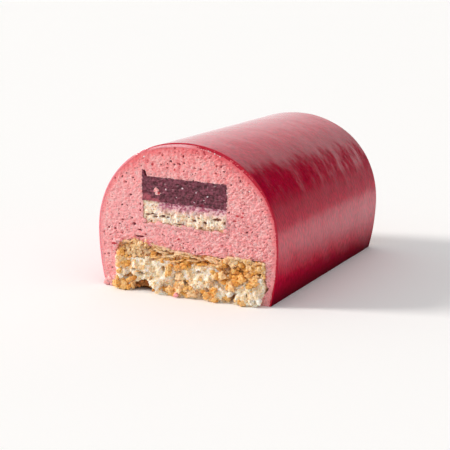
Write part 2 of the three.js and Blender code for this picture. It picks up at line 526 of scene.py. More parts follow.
def scatter(settings, coarse, fine, end, draw, lieOn=()):
    # a zone is an ellipse on the cut, in millimetres across and up, filled with lumps of a size;
    # what is placed one by one has its place, its size and its tone
    spots = []
    for zone in settings["zones"]:
        for _ in range(zone["count"]):
            angle = draw.uniform(0, 2 * math.pi)
            radius = math.sqrt(draw.random())
            x = zone["at"][0] + zone["spread"][0] * radius * math.cos(angle)
            z = zone["at"][1] + zone["spread"][1] * radius * math.sin(angle)
            size = draw.uniform(*zone["size"])
            tone = draw.uniform(*zone.get("tone", (0, 1)))
            spots.append((x, z, size, tone, draw.uniform(*zone.get("out", settings.get("zoneOut")))))
    spots += [spot + (draw.uniform(*settings["placedOut"]),) for spot in settings.get("placed", ())]
    made = []
    for x, z, size, tone, out in spots:
        x, z = x * mm, max(z, 0.7 * size) * mm  # what lies lowest stands on the foot
        turn = [draw.uniform(0, 2 * math.pi) for _ in range(3)]
        squash = [draw.uniform(0.7, 1.25) for _ in range(3)]
        kind = draw.choice(coarse if size > settings["coarseFrom"] else fine)
        under = landOn(lieOn, x, z, end)
        reach = reachAt(z, settings) if under is None else under + 0.35 * size * mm
        made.append(copyTo(kind, (x, end * (reach + out * mm), z), size, turn, squash,
                           {"tone": tone, "rim": 1.0}))
    return made


def endSlab(node, name, settings, end):
    # the layer as packed near one cut, a little set back there, and grown to touch what is round it
    low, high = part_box(node)
    size = high - low
    grow = settings["grow"]
    slab = copyOfNode(node, name)
    share = (1 + 2 * grow / size.x, 1 - 2 * settings["setBack"] / size.y, 1 + 2 * grow / size.z)
    resize(slab, share, (low + high) / 2)
    near, far = sorted((end * (halfLength - 2 * torn["keptRing"]), end * (halfLength + torn["boxPast"])))
    (left, down), (right, up) = torn["boxLow"], torn["boxHigh"]
    trim(slab, plainBlock("endBox", (left, near, down), (right, far, up)))
    return slab


def tornCore(node, name, settings):
    # a layer of crumb: its ends are lumps and packed layer in one rough skin, joined by plain sides
    draw = random.Random(settings["seed"])
    lumps = makeLumps(name + "Lump", 0.7, (0.5, 0.7, 1.0), 3)
    ends = []
    for end in (-1, 1):
        parts = [endSlab(node, name, settings, end)] + scatter(settings, lumps, lumps, end, draw)
        whole = joinAll(parts, name)
        addModifier(whole, "REMESH", mode="VOXEL", voxel_size=settings["voxel"], use_smooth_shade=True)
        applyModifiers(whole)
        bpy.ops.object.mode_set(mode="EDIT")
        bpy.ops.mesh.select_all(action="SELECT")
        bpy.ops.mesh.bisect(plane_co=(0, end * (halfLength - torn["keptRing"]), 0), plane_no=(0, end, 0),
                            clear_inner=True)
        bpy.ops.object.mode_set(mode="OBJECT")
        ends.append(whole)
    for lump in lumps:
        removePiece(lump)
    piece = joinAll(ends, name)
    bpy.ops.object.mode_set(mode="EDIT")
    bpy.ops.mesh.select_mode(type="EDGE")
    bpy.ops.mesh.select_all(action="DESELECT")
    bpy.ops.mesh.select_non_manifold(extend=False, use_wire=False, use_boundary=True,
                                     use_multi_face=False, use_non_contiguous=False, use_verts=False)
    bpy.ops.mesh.bridge_edge_loops()
    bpy.ops.mesh.select_all(action="SELECT")
    bpy.ops.mesh.normals_make_consistent(inside=False)
    bpy.ops.object.mode_set(mode="OBJECT")
    applyRelief(piece, crumbRelief(name + "Relief", settings))
    restOnFloor(piece)
    makeActive(piece)
    bpy.ops.object.shade_smooth()
    return piece


def behindCrumb(tree, place, settings):
    # how far a point lies behind the crumb round it
    parts = addNode(tree, "SeparateXYZ", {"Vector": place})
    front = halfLength + settings["bulge"]
    usual = addNode(tree, "MapRange",
                    {"Value": parts.outputs["Z"], "From Max": torn["spillTop"],
                     "To Min": front + settings["spill"], "To Max": front},
                    interpolation_type="SMOOTHSTEP")
    out = addNode(tree, "Math", {0: parts.outputs["Y"]}, operation="ABSOLUTE")
    return addNode(tree, "Math", {0: usual, 1: out}, operation="SUBTRACT")


def crumbRelief(name, settings):
    # pushes the skin in and out along its normal in sizes of crumb, opens pits and tears hollows
    tree, start = newRelief(name)
    place = addNode(tree, "GeometryNodeInputPosition")
    normal = addNode(tree, "GeometryNodeInputNormal")
    parts = addNode(tree, "SeparateXYZ", {"Vector": place})
    height = 0.0
    for length, strength in settings["waves"]:
        wave = addNode(tree, "TexNoise",
                       {"Vector": place, "Scale": 1 / length, "Detail": 2.0, "Roughness": 0.55})
        middled = addNode(tree, "Math", {0: wave, 1: 0.5}, operation="SUBTRACT")
        height = addNode(tree, "Math", {0: middled, 1: 2 * strength, 2: height}, operation="MULTIPLY_ADD")
    spacing = settings["pitSpacing"]
    pit = pitShare(tree, ragged(tree, place, 0.6 * spacing, 0.8 * spacing), spacing, (0.24, 0.4), 0.15)
    carved = addNode(tree, "Math", {0: pit, 1: -settings["pitDepth"], 2: height},
                     operation="MULTIPLY_ADD")
    reach = addNode(tree, "Math", {0: parts.outputs["Y"]}, operation="ABSOLUTE")
    nearCut = addNode(tree, "MapRange",
                      {"Value": reach, "From Min": halfLength - 2 * mm, "From Max": halfLength - 1 * mm})
    rough = addNode(tree, "Math", {0: carved, 1: nearCut}, operation="MULTIPLY")
    offset = addNode(tree, "VectorMath", {"Vector": normal, "Scale": rough}, operation="SCALE")
    hollow = placedShare(tree, ragged(tree, place, 1.1 * mm, 1.2 * mm), settings["hollows"])
    side = addNode(tree, "Math", {0: parts.outputs["Y"]}, operation="SIGN")
    sunk = addNode(tree, "Math", {0: hollow, 1: -settings["hollowDepth"]}, operation="MULTIPLY")
    sunkNear = addNode(tree, "Math", {0: sunk, 1: nearCut}, operation="MULTIPLY")
    inwards = addNode(tree, "Math", {0: sunkNear, 1: side}, operation="MULTIPLY")
    lifted = addNode(tree, "Math",
                     {0: sunkNear, 1: -settings.get("hollowLift", 0) / settings["hollowDepth"]},
                     operation="MULTIPLY")
    hollowed = addNode(tree, "CombineXYZ", {"Y": inwards, "Z": lifted})
    total = addNode(tree, "VectorMath", {0: offset, 1: hollowed})
    # pits and hollows are noted as well, and the finish darkens them as painted shade
    moved = addNode(tree, "GeometryNodeSetPosition",
                    {"Geometry": noteOn(tree, noteOn(tree, start, "pit", pit), "hollow", hollow),
                     "Offset": total})
    # noted for the finish, which darkens it as painted shade: how far each point is now sunk into the
    # crumb
    behind = behindCrumb(tree, addNode(tree, "GeometryNodeInputPosition"), settings)
    recess = addNode(tree, "MapRange",
                     {"Value": behind, "From Min": settings["recess"][0],
                      "From Max": settings["recess"][1]})
    addNode(tree, "NodeGroupOutput", {0: noteOn(tree, moved, "recess", recess)})
    return tree


# in the three layers of crumb: "waves" are the sizes of the crumb and how far each pushes it out,
# "hollows" are torn at places across and up, with half width and half height, "zones" are filled
# with loose lumps, and "placed" are single lumps, across, up, radius and tone, in millimetres;
# "recess" is how far sunk back the painted shade begins and where it is full
baseSponge = {
    "seed": 11,
    "grow": 0.3 * mm,
    "setBack": 0.6 * mm,
    "voxel": 0.22 * mm,
    "bulge": 1.0 * mm,
    "spill": 1.7 * mm,
    "recess": (0.9 * mm, 2.8 * mm),
    "waves": [(2.0 * mm, 0.3 * mm), (0.8 * mm, 0.26 * mm), (0.45 * mm, 0.2 * mm)],
    "pitSpacing": 0.75 * mm,
    "pitDepth": 0.4 * mm,
    "hollows": [(-14.6, 0.7, 2.6, 2.2), (-12.4, 0.6, 2.6, 3.1), (-10.6, 0.4, 2.2, 1.7),
                (15.5, 0.9, 1.3, 1.3), (-17.5, 3.4, 1.8, 0.8), (6.4, 0.7, 1.6, 1.2), (0.6, 3.6, 1.0, 0.9),
                (13.6, 3.2, 1.2, 0.6), (4.4, 7.2, 1.0, 0.5), (12.4, 6.0, 1.6, 0.8),
                (-13.6, 4.9, 1.3, 0.5), (-6.6, 7.0, 0.5, 0.9), (10.0, 5.4, 1.2, 0.9),
                (-15.8, 6.0, 0.9, 0.7), (-3.0, 4.4, 0.6, 1.2), (19.4, 5.2, 0.8, 0.5),
                (16.0, 2.2, 0.9, 0.5), (7.4, 2.8, 0.6, 0.9)],
    "hollowDepth": 2.2 * mm,
    "hollowLift": 1.5 * mm,
    "coarseFrom": 0.0,
    "placedOut": (-0.3, 0.1),
    "zones": [
        {"at": (-10.5, 5.5), "spread": (6.5, 3), "size": (0.5, 1.2), "count": 60, "out": (-1.2, -0.4)},
        {"at": (4.5, 5.5), "spread": (4.4, 3.2), "size": (0.5, 1.0), "count": 50, "out": (-1.0, -0.6)},
        {"at": (18, 3.6), "spread": (4.6, 3), "size": (0.4, 1.1), "count": 60, "out": (-1.1, -0.3)},
        {"at": (12.5, 2.4), "spread": (2.2, 0.9), "size": (0.5, 0.9), "count": 10, "out": (-0.3, 0.2)},
        {"at": (1.5, 4.5), "spread": (22, 3.6), "size": (0.2, 0.5), "count": 110, "out": (-0.5, 0.1)},
        {"at": (22.9, 4.5), "spread": (0.5, 4), "size": (0.5, 0.9), "count": 20, "out": (-1.2, -0.4)},
        {"at": (-20.8, 4.5), "spread": (0.5, 4), "size": (0.5, 0.9), "count": 20, "out": (-1.2, -0.4)},
    ],
    "placed": [(7.6, 5.0, 0.9, 0), (7.5, 3.8, 0.9, 0), (7.7, 6.3, 0.7, 0), (11.3, 1.7, 1.1, 0),
               (12.6, 2.3, 0.9, 0), (13.8, 2.9, 0.9, 0), (17.1, 3.5, 0.8, 0), (21.1, 1.3, 1.2, 0),
               (22.2, 3.5, 0.9, 0), (-20.2, 3.4, 0.9, 0), (-19.0, 5.0, 0.8, 0), (-7.9, 2.7, 1.6, 0),
               (-9.3, 2.7, 1.2, 0), (-6.2, 4.0, 1.0, 0), (-11.6, 6.6, 1.2, 0), (-15.6, 6.9, 1.1, 0),
               (5.2, 4.1, 1.0, 0), (4.4, 5.6, 0.8, 0)],
}

nutCrunch = {
    "seed": 23,
    "grow": 0.3 * mm,
    "setBack": 1.0 * mm,
    "voxel": 0.24 * mm,
    "bulge": 1.0 * mm,
    "spill": 1.7 * mm,
    "recess": (1.2 * mm, 3.2 * mm),
    "waves": [(1.8 * mm, 0.35 * mm), (0.7 * mm, 0.22 * mm)],
    "pitSpacing": 1.3 * mm,
    "pitDepth": 0.6 * mm,
    "hollows": [(-13.0, 15.0, 1.6, 0.7), (-4.5, 12.8, 1.2, 0.5), (0.2, 12.3, 1.0, 0.5),
                (4.5, 12.3, 1.6, 0.5), (12, 12.2, 1.4, 0.6), (7.5, 10.2, 2.2, 0.5), (17.4, 8.6, 1.6, 1.0),
                (22.8, 8.6, 1.1, 0.7), (-19.2, 12.0, 0.35, 1.3), (13.4, 9.6, 1.4, 1.2),
                (15.6, 10.2, 0.9, 0.8), (9.4, 10.9, 1.4, 0.4), (-8.8, 10.9, 1.6, 0.4)],
    "hollowDepth": 1.4 * mm,
    "coarseFrom": 0.0,
    "zones": [],
}

insertSponge = {
    "seed": 37,
    "grow": 0.42 * mm,
    "setBack": 0.3 * mm,
    "voxel": 0.19 * mm,
    "bulge": 0.0,
    "spill": 0.0,
    "recess": (0.25 * mm, 0.9 * mm),
    "waves": [(1.4 * mm, 0.14 * mm), (0.5 * mm, 0.14 * mm)],
    "pitSpacing": 0.8 * mm,
    "pitDepth": 0.35 * mm,
    "hollows": [(-11.7, 22.0, 1.0, 0.6), (-9.3, 21.5, 0.8, 0.35), (-5.3, 21.6, 0.6, 0.35),
                (-4.9, 22.6, 0.45, 0.3), (1.2, 22.3, 0.4, 0.3), (4.2, 22.4, 0.5, 0.35),
                (6.0, 21.0, 0.5, 0.35), (10.2, 22.6, 1.4, 0.45), (12.0, 21.6, 0.4, 0.3),
                (-2.1, 20.0, 1.9, 0.3), (-10.9, 19.9, 0.5, 0.3), (4.8, 19.5, 0.5, 0.35),
                (8.0, 19.4, 0.4, 0.4), (-1.9, 20.9, 0.3, 0.25), (-9.9, 22.2, 1.2, 0.35),
                (-6.9, 21.8, 1.2, 0.3), (9.4, 22.2, 1.4, 0.35), (2.8, 21.4, 1.0, 0.3)],
    "hollowDepth": 0.6 * mm,
    "coarseFrom": 0.0,
    "zones": [
        {"at": (0, 21.7), "spread": (13, 2.3), "size": (0.35, 0.85), "count": 110, "out": (-0.55, -0.1)},
    ],
}


def crumbFinish(name, tones, paintedShadeTone, paintedDeepShadeTone, roughness, grain, pores):
    # crumb in patches of three tones, with painted shade: browner and darker in its pits and pores,
    # between its grains, where it is sunk back and in its torn hollows
    material, tree, shader, place = newMaterial(name, roughness, (0.4, (1.0, 0.7, 0.45), 0.8 * mm))
    patches = addNode(tree, "TexNoise",
                      {"Vector": place, "Scale": 1 / grain, "Detail": 4.0, "Roughness": 0.65})
    colour = colourRamp(tree, patches, [(0.36, tones[0]), (0.5, tones[1]), (0.64, tones[2])])
    paintedPitShade = addNode(tree, "Math", {0: noted(tree, "pit"), 1: 0.45}, operation="MULTIPLY")
    low = addNode(tree, "Math", {0: paintedPitShade, 1: noted(tree, "recess")}, operation="MAXIMUM")
    shadeBetweenGrains = addGrit(tree, shader, place, 0.45 * mm, 0.28, 0.8, 0.2 * mm)
    colour = mixColour(tree, shadeBetweenGrains, colour, paintedShadeTone)
    colour = mixColour(tree, low, colour, paintedShadeTone)
    pore = pitShare(tree, ragged(tree, place, 0.35 * mm, 0.35 * mm), pores, (0.2, 0.44), 0.35)
    opened = addNode(tree, "Math", {0: pore, 1: 0.75}, operation="MULTIPLY")
    colour = mixColour(tree, opened, colour, paintedShadeTone)
    colour = mixColour(tree, noted(tree, "hollow"), colour, paintedDeepShadeTone)
    return material, tree, shader, place, colour


def baseSpongeFinish():
    # pale butter sponge, open and dry: soft cream, with painted shade in tan where it has torn
    tones = ("#F2D0A2", "#FFEED2", "#FFFDF6")
    material, tree, shader, _, colour = crumbFinish("paleSpongeCrumb", tones, "#D29C5E", "#A46A34", 0.9,
                                                    1.5 * mm, 0.7 * mm)
    setColour(tree, shader, colour)
    return material


def nutCrunchFinish():
    # praline crunch: a tan paste set round toasted flakes, with dark caramel and painted shade in its
    # cracks
    tones = ("#FFB06A", "#FFCE98", "#FFE6C4")
    material, tree, shader, _, colour = crumbFinish("pralineCrunch", tones, "#C46C2A", "#84421A", 0.55,
                                                    1.4 * mm, 1.1 * mm)
    setColour(tree, shader, colour)
    return material


def insertSpongeFinish():
    # almond sponge: its foot baked golden brown, its top wetted and coloured lilac by the jelly
    tones = ("#F8D0AA", "#FFEAD2", "#FFFCF6")
    material, tree, shader, place, colour = crumbFinish("almondSpongeCrumb", tones, "#C07C60", "#8A4C34",
                                                        0.85, 0.9 * mm, 0.8 * mm)
    uneven = addNode(tree, "SeparateXYZ", {"Vector": ragged(tree, place, 1.1 * mm, 3.0 * mm)})
    wet = addNode(tree, "MapRange",
                  {"Value": uneven.outputs["Z"], "From Min": 22.4 * mm, "From Max": 24.4 * mm})
    rightOf = addNode(tree, "MapRange",
                      {"Value": uneven.outputs["X"], "From Min": -9.4 * mm, "From Max": -7.6 * mm})
    wetRight = addNode(tree, "Math", {0: wet, 1: rightOf}, operation="MULTIPLY")
    specked = noiseShare(tree, place, 0.7 * mm, 0.42, 0.62, detail=3.0)
    lilac = mixColour(tree, specked, linear("#B25C76"), "#F0BCC4")
    colour = addNode(tree, "Mix", {"Factor": wetRight, "A": colour, "B": lilac}, data_type="RGBA")
    foot = addNode(tree, "MapRange",
                   {"Value": uneven.outputs["Z"], "From Min": 20.1 * mm, "From Max": 19.2 * mm,
                    "To Max": 0.6})
    setColour(tree, shader, mixColour(tree, foot, colour, "#D09A64"))
    return material


# each placed nugget: millimetres across and up, radius, and how dark it is toasted from 0 to 1
crunchGranules = {
    "seed": 5,
    "bulge": 1.0 * mm,
    "spill": 1.7 * mm,
    "coarseFrom": 0.75,
    "placedOut": (-0.2, 0.15),
    "zoneOut": (-0.4, 0.1),
    "zones": [
        {"at": (-18.9, 9.6), "spread": (1.6, 3.4), "size": (0.3, 0.7), "count": 46, "tone": (0, 0.6)},
        {"at": (-14.4, 12.0), "spread": (4.0, 2.3), "size": (0.3, 0.8), "count": 90, "tone": (0, 0.25)},
        {"at": (-0.2, 8.8), "spread": (2.4, 1.2), "size": (0.3, 0.6), "count": 22, "tone": (0.3, 0.9)},
        {"at": (-4.6, 7.0), "spread": (0.8, 1.6), "size": (0.3, 0.6), "count": 10, "tone": (0.2, 0.5)},
        {"at": (-6.0, 10.3), "spread": (4, 1.3), "size": (0.25, 0.6), "count": 50, "tone": (0.1, 0.8)},
        {"at": (4.0, 10.4), "spread": (5, 1.2), "size": (0.25, 0.6), "count": 50, "tone": (0.1, 0.8)},
        {"at": (-0.6, 1.8), "spread": (4.4, 1.6), "size": (0.3, 0.8), "count": 60, "out": (-0.3, 0.2),
         "tone": (0.1, 0.7)},
        {"at": (-6.2, 1.4), "spread": (2.6, 0.6), "size": (0.3, 0.6), "count": 10, "out": (-0.3, 0.2),
         "tone": (0.6, 1)},
        {"at": (12.4, 8.0), "spread": (2.8, 3.0), "size": (0.3, 0.8), "count": 56, "out": (-0.5, 0.1),
         "tone": (0.2, 0.85)},
        {"at": (18.5, 9.6), "spread": (5.2, 2.5), "size": (0.3, 0.8), "count": 130, "tone": (0, 0.75)},
        {"at": (14.8, 5.4), "spread": (1.2, 1.2), "size": (0.3, 0.7), "count": 14, "tone": (0.1, 0.5)},
        {"at": (9.6, 1.6), "spread": (2.6, 1.2), "size": (0.3, 0.7), "count": 20, "out": (-0.3, 0.2),
         "tone": (0.2, 0.9)},
        {"at": (-14.6, 7.2), "spread": (2.6, 1.8), "size": (0.2, 0.5), "count": 26, "out": (-0.4, 0),
         "tone": (0, 0.4)},
        {"at": (17.2, 1.0), "spread": (1.6, 0.5), "size": (0.3, 0.6), "count": 8, "out": (-0.3, 0.2),
         "tone": (0.2, 0.8)},
        {"at": (1.5, 5.5), "spread": (22, 5), "size": (0.15, 0.35), "count": 45, "out": (-0.1, 0.1),
         "tone": (0, 0.5)},
        {"at": (-20.7, 6.5), "spread": (0.4, 3.6), "size": (0.35, 0.7), "count": 16, "tone": (0, 0.6)},
        {"at": (23.6, 9.5), "spread": (0.6, 2.5), "size": (0.35, 0.7), "count": 16, "tone": (0, 0.6)},
    ],
    "placed": [
        (-20.2, 10.3, 1.0, 0.55), (-20.4, 8.6, 1.0, 0.2), (-18.3, 7.4, 1.0, 0.6),
        (-19.7, 11.6, 0.8, 0.35), (-12.0, 14.7, 0.45, 0.0), (-19.5, 2.0, 1.0, 0.45),
        (-10.0, 10.6, 0.9, 0.5), (-4.7, 7.6, 0.8, 0.35), (-4.7, 6.2, 0.8, 0.4), (-1.3, 5.4, 1.1, 0.12),
        (-4.2, 8.3, 0.6, 0.7), (0.2, 9.0, 1.0, 0.65), (1.1, 9.7, 0.7, 0.5), (-2.0, 8.1, 1.2, 0.35),
        (-1.0, 8.8, 0.7, 0.4), (-0.8, 2.7, 1.3, 0.15), (-3.7, 1.8, 0.9, 0.3), (-2.1, 0.8, 0.8, 0.4),
        (1.0, 2.4, 1.0, 0.35), (3.2, 1.5, 1.3, 0.12), (1.7, 0.7, 0.7, 0.4), (12.0, 7.3, 1.3, 0.15),
        (13.1, 8.8, 0.8, 0.0), (15.0, 4.8, 1.2, 0.25), (14.0, 5.2, 0.9, 0.3), (15.6, 7.0, 0.9, 0.6),
        (12.9, 6.3, 0.7, 0.6), (14.7, 10.6, 1.0, 0.12), (11.1, 10.2, 0.9, 0.25), (12.9, 11.4, 0.8, 0.2),
        (19.6, 10.4, 1.2, 0.15), (21.0, 11.2, 0.9, 0.3), (23.0, 10.5, 1.0, 0.2), (23.6, 9.4, 0.6, 0.3),
        (17.9, 7.0, 1.2, 0.4), (19.7, 7.2, 1.1, 0.3), (21.7, 6.6, 1.1, 0.35), (16.4, 6.0, 0.9, 0.6),
        (20.4, 5.6, 0.8, 0.45), (13.7, 4.3, 0.8, 0.75), (9.6, 6.7, 0.9, 0.1), (9.1, 8.0, 0.7, 0.45),
        (8.1, 1.5, 1.2, 0.4), (10.0, 3.0, 1.0, 0.5), (9.3, 0.6, 0.8, 0.3), (6.2, 2.3, 0.7, 0.6),
        (13.5, 1.3, 0.9, 0.4), (19.0, 0.6, 0.9, 0.3), (-18.4, 1.3, 1.3, 0.35), (-19.7, 0.8, 0.8, 0.5),
        (-17.2, 2.8, 0.9, 0.4), (-16.3, 1.5, 1.1, 0.3), (-15.4, 3.7, 0.7, 0.9), (-18.1, 4.1, 0.8, 0.7),
        (-20.9, 1.6, 1.0, 0.4), (-17.3, 0.8, 0.8, 0.6), (-13.9, 2.6, 0.6, 0.9), (-12.3, 2.4, 0.7, 1.0),
        (-11.4, 1.4, 0.6, 0.7), (-14.8, 1.2, 0.6, 0.9), (-10.6, 2.2, 0.5, 0.3), (-13.0, 0.7, 0.5, 0.8),
    ],
}


def makeGranules(layers):
    draw = random.Random(crunchGranules["seed"])
    graph = bpy.context.evaluated_depsgraph_get()
    lieOn = [BVHTree.FromObject(layer, graph) for layer in layers]
    coarse = makeLumps("nugget", 0.8, (0.55, 0.8, 1.1), 3)
    fine = makeLumps("granule", 0.8, (0.7, 1.0, 1.4), 2)
    made = []
    for end in (-1, 1):
        made += scatter(crunchGranules, coarse, fine, end, draw, lieOn)
    for kind in coarse + fine:
        removePiece(kind)
    piece = joinAll(made, "crunchGranules")
    restOnFloor(piece)
    smoothBelow(piece, 40)
    return piece


def granuleFinish():
    # toasted, sugared nuts and wafer: amber and a little glossy, each granule its own shade
    material, tree, shader, place = newMaterial("toastedGranules", 0.42,
                                                (0.25, (1.0, 0.6, 0.35), 0.8 * mm))
    spots = addNode(tree, "TexNoise",
                    {"Vector": place, "Scale": 1 / (0.8 * mm), "Detail": 3.0, "Roughness": 0.6})
    shade = addNode(tree, "Math", {0: spots, 1: 0.6, 2: noted(tree, "tone")}, operation="MULTIPLY_ADD")
    share = addNode(tree, "MapRange", {"Value": shade, "From Min": 0.15, "From Max": 1.35})
    colour = colourRamp(tree, share,
                        [(0.0, "#FFEACC"), (0.25, "#FFD4A0"), (0.5, "#FFC26C"), (0.75, "#F6AC4E"),
                         (1.0, "#BC7030")])
    # painted shade between its grains
    shadeBetweenGrains = addGrit(tree, shader, place, 0.45 * mm, 0.26, 0.9, 0.25 * mm)
    colour = mixColour(tree, shadeBetweenGrains, colour, "#D88E3E")
    # painted shade, with some caramel: the deeper it lies between its neighbours, the browner and darker
    # it is
    behind = behindCrumb(tree, place, crunchGranules)
    sunk = addNode(tree, "MapRange",
                   {"Value": behind, "From Min": 0.45 * mm, "From Max": 1.3 * mm, "To Max": 0.6})
    setColour(tree, shader, mixColour(tree, sunk, colour, "#A65A22"))
    return material


wafer = {
    "seed": 19,
    "stride": 1.1 * mm,
    # half a flake's length, its half depth into the log and its half thickness, in millimetres
    "half": (0.9, 1.5),
    "deep": (1.0, 1.6),
    "thin": (0.16, 0.34),
    "out": (0.9 * mm, 1.5 * mm),  # how far its edge stands out of the cut
    # from one end of each row of flakes to the other, across and up, and how dark it is toasted
    "rows": [(-10.2, 13.3, -2.6, 12.2, 0.0), (-10.0, 12.5, -6.0, 11.6, 0.1),
             (-10.6, 10.4, -4.8, 9.8, 0.5), (-6.6, 10.5, -1.6, 11.6, 0.1), (-4.8, 9.3, 0.6, 10.2, 0.5),
             (-2.6, 12.0, 2.0, 11.9, 0.0), (-0.6, 11.6, 5.2, 11.1, 0.15), (0.4, 10.9, 4.5, 10.3, 0.4),
             (3.0, 10.0, 6.8, 9.4, 0.6), (5.4, 9.6, 8.6, 9.0, 0.0), (7.4, 11.2, 10.4, 10.7, 0.1),
             (8.0, 9.8, 10.8, 9.9, 0.5), (-19.4, 13.4, -16.4, 14.0, 0.2), (13.8, 12.2, 18.2, 12.3, 0.1),
             (18.6, 12.0, 22.8, 11.6, 0.1)],
}


def makeFlakes():
    # crisp wafer in overlapping flakes, edge on at the cut
    draw = random.Random(wafer["seed"])
    kinds = makeLumps("flake", 0.6, (0.6, 0.9, 1.3), 3)
    made = []
    for end in (-1, 1):
        for left, leftUp, right, rightUp, tone in wafer["rows"]:
            slope = math.atan2(rightUp - leftUp, right - left)
            steps = math.ceil(math.hypot(right - left, rightUp - leftUp) * mm / wafer["stride"])
            for step in range(steps):
                along = (step + 0.5) / steps
                x = left + (right - left) * along + draw.uniform(-0.2, 0.2)
                z = leftUp + (rightUp - leftUp) * along + draw.uniform(-0.2, 0.2)
                deep = draw.uniform(*wafer["deep"])
                out = halfLength + draw.uniform(*wafer["out"]) - deep * mm
                turn = (draw.uniform(-0.2, 0.2), draw.uniform(-0.3, 0.3) - slope, draw.uniform(-0.4, 0.4))
                squash = (draw.uniform(*wafer["half"]), deep, draw.uniform(*wafer["thin"]))
                notes = {"tone": max(0, 0.8 * tone + draw.uniform(-0.2, 0.1))}
                made.append(copyTo(draw.choice(kinds), (x * mm, end * out, z * mm), 1, turn, squash,
                                   notes))
    for kind in kinds:
        removePiece(kind)
    piece = joinAll(made, "waferFlakes")
    smoothBelow(piece, 40)
    return piece


# placed spots are given across, up, half width and half height, all in millimetres
mousse = {
    "reach": 0.85 * mm,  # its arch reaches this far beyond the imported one, into the glaze
    "archPower": 2.1,  # its outline is this much fuller than an ellipse, which has 2
    "outsideFrom": 0.92,  # as a share of the log's outline
    "footNarrower": 0.075,
    "cutAt": 38.98 * mm,
    "cuts": (64, 3),  # cells of about 0.2 mm on the cut
    # families of bubbles: how far apart, how deep, smallest and largest as shares of that, and how
    # many cells stay closed where the froth is calm and where it is torn
    "froth": [(0.7 * mm, 0.4 * mm, (0.18, 0.38), (0.55, 0.05)),
              (1.3 * mm, 0.55 * mm, (0.14, 0.32), (0.75, 0.25)),
              (2.9 * mm, 0.7 * mm, (0.10, 0.18), (0.8, 0.45))],
    "holes": [(-4.3, 37.3, 0.5, 0.4), (-5.4, 36.6, 0.35, 0.3), (-3.3, 36.5, 0.4, 0.35),
              (-2.2, 36.9, 0.3, 0.3), (-7.3, 36.2, 0.3, 0.3), (-5.5, 35.5, 0.35, 0.3),
              (-6.9, 38.8, 0.3, 0.25), (-0.2, 37.1, 0.35, 0.3), (4.9, 35.8, 0.4, 0.3),
              (9.7, 37.0, 0.3, 0.3), (11.9, 35.6, 0.35, 0.3), (9.5, 35.1, 0.3, 0.3),
              (3.1, 36.0, 0.3, 0.25), (-17.3, 27.0, 0.4, 0.35), (-14.2, 24.6, 0.4, 0.4),
              (-18.4, 23.9, 0.35, 0.3), (-20.1, 23.9, 0.35, 0.3), (-14.3, 22.8, 0.35, 0.35),
              (-16.3, 18.8, 0.8, 0.6), (-20.0, 19.7, 0.4, 0.35), (-16.9, 20.4, 0.4, 0.3),
              (-24.6, 17.0, 0.35, 0.3), (-20.2, 15.8, 0.4, 0.3), (-14.5, 17.2, 0.9, 0.3),
              (-12.6, 16.0, 0.4, 0.3), (-22.1, 12.95, 1.5, 0.4), (-14.5, 15.3, 2.0, 0.35),
              (-18.8, 30.5, 0.3, 0.3), (-16.5, 31.9, 0.3, 0.3)],
    "holeDepth": 0.8 * mm,
    "stains": [(15.9, 24.0, 0.8, 0.4), (15.2, 22.5, 0.8, 0.4), (17.4, 23.8, 0.6, 0.5),
               (17.6, 24.9, 0.4, 0.4), (-10.0, 36.1, 0.5, 0.6), (-2.0, 15.7, 0.7, 0.4),
               (-3.1, 35.1, 0.5, 0.4), (-22.1, 12.95, 1.6, 0.5), (-7.9, 28.4, 0.5, 0.7)],
    "lip": [(-4.0, 41.2, 9.5, 4.5)],
    "seamDepth": 0.8 * mm,
    # what the knife has pushed up: across, up, out from the cut, and half sizes across, out and up
    "smears": [(-8.8, 29.0, 0.1, 0.75, 0.4, 0.7), (-8.3, 28.2, 0.1, 0.8, 0.4, 0.6),
               (-24.3, 1.8, 0.2, 1.0, 0.6, 1.0), (-22.9, 2.6, 0.2, 0.8, 0.5, 0.8),
               (-21.7, 13.2, 0.9, 1.1, 0.9, 1.1), (-21.9, 11.9, 0.8, 0.7, 0.8, 0.9),
               (-20.6, 13.9, 0.8, 1.0, 0.8, 0.5), (-25.3, 1.1, 0.2, 1.0, 0.6, 1.0),
               (-23.6, 0.6, 0.2, 0.7, 0.5, 0.6), (-1.1, 0.8, 3.4, 0.7, 0.6, 0.6),
               (-12.9, 20.1, 0.0, 0.8, 0.4, 0.6), (-10.6, 19.2, 0.0, 1.2, 0.4, 0.5),
               (-8.0, 19.5, 0.0, 1.3, 0.4, 0.6), (-5.6, 19.2, 0.0, 1.3, 0.4, 0.6),
               (-3.2, 18.9, 0.0, 1.2, 0.4, 0.6), (-0.6, 19.3, 0.0, 1.3, 0.4, 0.6),
               (1.8, 19.3, 0.0, 1.0, 0.4, 0.6), (4.0, 18.9, 0.0, 1.2, 0.4, 0.5),
               (9.8, 18.8, 0.0, 1.3, 0.4, 0.5), (12.6, 19.6, 0.0, 0.7, 0.4, 0.7),
               (12.9, 21.4, 0.0, 0.35, 0.35, 1.0)],
}


def onArch(point):
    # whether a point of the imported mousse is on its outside, and not in the hole for the insert
    across, up = abs(point.co.x) / halfWidth, max(0, point.co.z - archSpring) / archRise
    power = mousse["archPower"]
    narrower = max(0, archSpring - point.co.z) / archSpring * mousse["footNarrower"]
    return across ** power + up ** power > (mousse["outsideFrom"] - narrower) ** power


